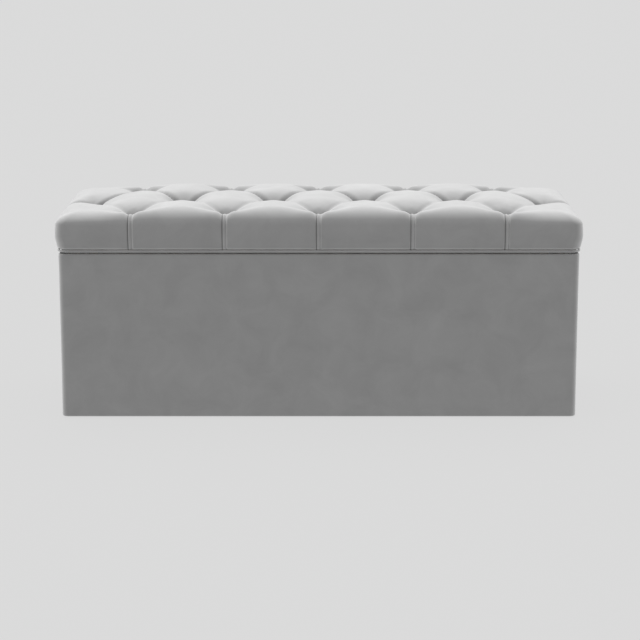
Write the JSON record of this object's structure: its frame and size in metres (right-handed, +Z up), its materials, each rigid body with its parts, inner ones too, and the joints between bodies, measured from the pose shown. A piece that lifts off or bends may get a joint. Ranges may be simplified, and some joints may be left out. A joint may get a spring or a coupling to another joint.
{
  "type": "storage bench",
  "caption": "Low velvet storage bench: a plain wrapped box under a deep-buttoned, padded lid that hinges up at the back on gas struts.",
  "frame": {"origin": "on the floor, under the middle of the bench", "axes": "+X along the bench to its right as seen from the front, +Y towards the back where the hinges are, +Z up"},
  "size_m": [1.213, 0.463, 0.501],
  "materials": {
    "velvet": "cut-pile velvet, mid grey",
    "wadding": "white polyester fibre",
    "foam": "open-cell foam",
    "plywood": "unfinished plywood",
    "pine": "planed softwood",
    "lining": "black nonwoven cloth",
    "hinge_steel": "zinc-plated steel",
    "rod_chrome": "polished, hard chrome",
    "tube_paint": "satin black powder coat",
    "nylon": "moulded black nylon",
    "rubber": "matt black rubber"
  },
  "bodies": {
    "box": {"back_panel": "plywood", "base_cover": "velvet", "base_dust_cloth": "lining", "base_wadding": "wadding", "bottom_board": "plywood", "corner_post_back_left": "pine", "corner_post_back_right": "pine", "corner_post_front_left": "pine", "corner_post_front_right": "pine", "floor_cleat_back": "pine", "floor_cleat_front": "pine", "front_panel": "plywood", "glide_back_left": "nylon", "glide_back_right": "nylon", "glide_front_left": "nylon", "glide_front_right": "nylon", "hinge_base_leaf_centre": "hinge_steel", "hinge_base_leaf_left": "hinge_steel", "hinge_base_leaf_right": "hinge_steel", "hinge_pin_centre": "hinge_steel", "hinge_pin_left": "hinge_steel", "hinge_pin_right": "hinge_steel", "hinge_rail": "pine", "inner_lining": "lining", "left_side_panel": "plywood", "lid_buffer_left": "rubber", "lid_buffer_right": "rubber", "right_side_panel": "plywood", "strut_base_bracket_left": "hinge_steel", "strut_base_bracket_right": "hinge_steel"},
    "lid": {"button_back_1": "velvet", "button_back_2": "velvet", "button_back_3": "velvet", "button_back_4": "velvet", "button_back_5": "velvet", "button_front_1": "velvet", "button_front_2": "velvet", "button_front_3": "velvet", "button_front_4": "velvet", "button_front_5": "velvet", "button_middle_1": "velvet", "button_middle_2": "velvet", "button_middle_3": "velvet", "button_middle_4": "velvet", "button_middle_5": "velvet", "button_middle_6": "velvet", "hinge_lid_leaf_centre": "hinge_steel", "hinge_lid_leaf_left": "hinge_steel", "hinge_lid_leaf_right": "hinge_steel", "lid_board": "plywood", "lid_cover": "velvet", "lid_foam": "foam", "lid_lining": "lining", "lid_wadding": "wadding", "strut_lid_bracket_left": "hinge_steel", "strut_lid_bracket_right": "hinge_steel"},
    "rod_left": {"strut_rod_left": "rod_chrome"},
    "tube_left": {"strut_tube_left": "tube_paint"},
    "rod_right": {"strut_rod_right": "rod_chrome"},
    "tube_right": {"strut_tube_right": "tube_paint"}
  },
  "joints": [
    {"name": "lid_hinge", "type": "hinge", "parent": "box", "child": "lid", "pos_m": [0, 0.2283, 0.391], "axis": [-1, 0, 0], "range_deg": [0, 80], "stiffness_Nm_per_rad": 7.5, "springref_deg": 106},
    {"name": "strut_rod_pivot_left", "type": "hinge", "parent": "box", "child": "rod_left", "pos_m": [-0.561, 0.16359, 0.14952], "axis": [-1, 0, 0], "range_deg": [-0.5, 40.5]},
    {"name": "strut_tube_pivot_left", "type": "hinge", "parent": "lid", "child": "tube_left", "pos_m": [-0.561, -0.0209, 0.371], "axis": [-1, 0, 0], "range_deg": [-40.5, 0.5]},
    {"name": "strut_rod_pivot_right", "type": "hinge", "parent": "box", "child": "rod_right", "pos_m": [0.561, 0.16359, 0.14952], "axis": [-1, 0, 0], "range_deg": [-0.5, 40.5]},
    {"name": "strut_tube_pivot_right", "type": "hinge", "parent": "lid", "child": "tube_right", "pos_m": [0.561, -0.0209, 0.371], "axis": [-1, 0, 0], "range_deg": [-40.5, 0.5]}
  ],
  "couplings": [
    {"joint": "strut_rod_pivot_left", "follows": "lid_hinge", "ratio": 0.5},
    {"joint": "strut_tube_pivot_left", "follows": "lid_hinge", "ratio": -0.5},
    {"joint": "strut_rod_pivot_right", "follows": "lid_hinge", "ratio": 0.5},
    {"joint": "strut_tube_pivot_right", "follows": "lid_hinge", "ratio": -0.5}
  ]
}
